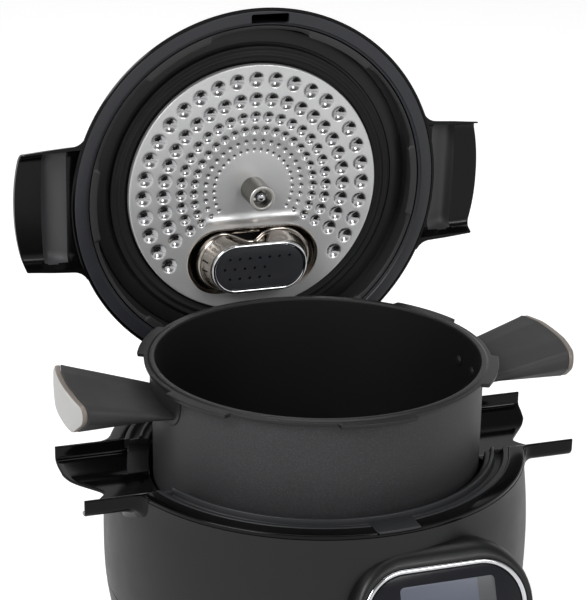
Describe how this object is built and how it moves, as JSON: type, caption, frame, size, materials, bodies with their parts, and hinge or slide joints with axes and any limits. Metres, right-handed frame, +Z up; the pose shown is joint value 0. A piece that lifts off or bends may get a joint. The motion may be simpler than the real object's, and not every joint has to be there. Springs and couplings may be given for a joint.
{
  "type": "electric pressure cooker",
  "caption": "Electric pressure cooker with a hinged locking lid, shown open over a lifted two-handled inner pot, with a front control panel and side handle channels.",
  "frame": {"origin": "bottom centre of the whole box, on the table under the feet", "axes": "+Z up, -Y towards the front with the control panel, +X to the right of someone who faces the front"},
  "size_m": [0.378, 0.4308, 0.5085],
  "materials": {
    "housing_plastic": "satin dark grey moulded",
    "gloss_black": "piano black gloss",
    "grey_trim": "matte dark grey moulded",
    "pot_coating": "speckled dark non-stick coating on cast aluminium",
    "handle_plastic": "matte dark grey moulded",
    "silver_plastic": "silver painted",
    "steel": "bright rolled stainless steel",
    "chrome": "polished",
    "black_rubber": "matte",
    "lid_ring": "smooth dark grey",
    "aluminium": "as cast and turned",
    "dark_glass": "dark clear window",
    "display": "unlit slate blue display",
    "circuit_board": "green lacquer"
  },
  "bodies": {
    "base": {"outer_housing": "housing_plastic", "crown": "gloss_black", "gutter_front": "grey_trim", "gutter_rear": "grey_trim", "catch_block": "grey_trim", "inner_tub": "aluminium", "heating_plate": "aluminium", "sensor_spring": "steel", "bottom_plate": "grey_trim", "foot_front_left": "black_rubber", "foot_front_right": "black_rubber", "foot_rear_left": "black_rubber", "foot_rear_right": "black_rubber", "bottom_screw_1": "steel", "bottom_screw_2": "steel", "bottom_screw_3": "steel", "control_hood": "housing_plastic", "panel_frame": "chrome", "panel_glass": "dark_glass", "display_module": "display", "control_board": "circuit_board", "power_inlet": "black_rubber", "hinge_bracket": "gloss_black", "hinge_pin": "steel", "hinge_spring": "steel"},
    "pot": {"pot": "pot_coating", "bracket_right": "handle_plastic", "pot_handle_right": "handle_plastic", "handle_cap_right": "silver_plastic", "rivet_right_front": "steel", "rivet_right_rear": "steel", "bracket_left": "handle_plastic", "pot_handle_left": "handle_plastic", "handle_cap_left": "silver_plastic", "rivet_left_front": "steel", "rivet_left_rear": "steel"},
    "lid": {"lid_cover": "gloss_black", "under_ring": "lid_ring", "pressure_plate": "gloss_black", "gasket": "black_rubber", "inner_lid": "steel", "steam_pipe": "steel", "safety_valve": "steel", "float_ball": "steel", "hinge_arm": "gloss_black", "arm_screw_1": "steel", "arm_screw_2": "steel", "lid_handle_right": "gloss_black", "lid_handle_left": "gloss_black"},
    "knob": {"knob": "gloss_black"},
    "locking_ring": {"locking_ring": "grey_trim"},
    "release_button": {"release_button": "silver_plastic"},
    "steam_valve": {"steam_valve": "black_rubber"},
    "condensate_cup": {"condensate_cup": "grey_trim"},
    "start_button": {"start_button": "silver_plastic"},
    "select_dial": {"select_dial": "gloss_black"},
    "centre_nut": {"centre_nut": "chrome"},
    "valve_cover": {"valve_cover": "chrome", "valve_face": "gloss_black"},
    "sensor_cap": {"sensor_cap": "aluminium"}
  },
  "joints": [
    {"name": "lid_hinge", "type": "hinge", "parent": "base", "child": "lid", "pos_m": [0, 0.12757, 0.214], "axis": [-1, 0, 0], "range_deg": [-87.5, 0], "stiffness_Nm_per_rad": 1.6, "springref_deg": 14.32},
    {"name": "pot_lift", "type": "slide", "parent": "base", "child": "pot", "axis": [0, 0, 1], "range_m": [-0.058, 0]},
    {"name": "knob_turn", "type": "hinge", "parent": "lid", "child": "knob", "pos_m": [0, 0.19704, 0.36517], "axis": [0, 0.999, 0.0436], "range_deg": [-30, 0]},
    {"name": "locking_ring_turn", "type": "hinge", "parent": "lid", "child": "locking_ring", "pos_m": [0, 0.1371, 0.36256], "axis": [0, 0.999, 0.0436], "range_deg": [-30, 0]},
    {"name": "release_button_press", "type": "slide", "parent": "knob", "child": "release_button", "axis": [0, 0.999, 0.0436], "range_m": [-0.002, 0], "stiffness_N_per_m": 300, "springref_m": 0.001},
    {"name": "steam_valve_lift", "type": "slide", "parent": "lid", "child": "steam_valve", "axis": [0, 0.999, 0.0436], "range_m": [0, 0.004]},
    {"name": "condensate_cup_slide", "type": "slide", "parent": "base", "child": "condensate_cup", "axis": [0, 1, 0], "range_m": [0, 0.03]},
    {"name": "start_button_press", "type": "slide", "parent": "base", "child": "start_button", "axis": [0, -0.9272, 0.3746], "range_m": [-0.001, 0], "stiffness_N_per_m": 500, "springref_m": 0.0005},
    {"name": "select_dial_turn", "type": "hinge", "parent": "base", "child": "select_dial", "pos_m": [0.034, -0.2049, 0.12695], "axis": [0, -0.9272, 0.3746], "continuous": true},
    {"name": "centre_nut_turn", "type": "hinge", "parent": "lid", "child": "centre_nut", "pos_m": [0, 0.1371, 0.36256], "axis": [0, 0.999, 0.0436], "continuous": true},
    {"name": "valve_cover_pull", "type": "slide", "parent": "lid", "child": "valve_cover", "axis": [0, -0.999, -0.0436], "range_m": [0, 0.014]},
    {"name": "sensor_press", "type": "slide", "parent": "base", "child": "sensor_cap", "axis": [0, 0, 1], "range_m": [-0.002, 0], "stiffness_N_per_m": 800, "springref_m": 0.001, "deforming": ["sensor_spring"]}
  ],
  "couplings": [
    {"joint": "pot_lift", "follows": "lid_hinge", "m_per_rad": 0.03797},
    {"joint": "locking_ring_turn", "follows": "knob_turn", "ratio": 1}
  ]
}
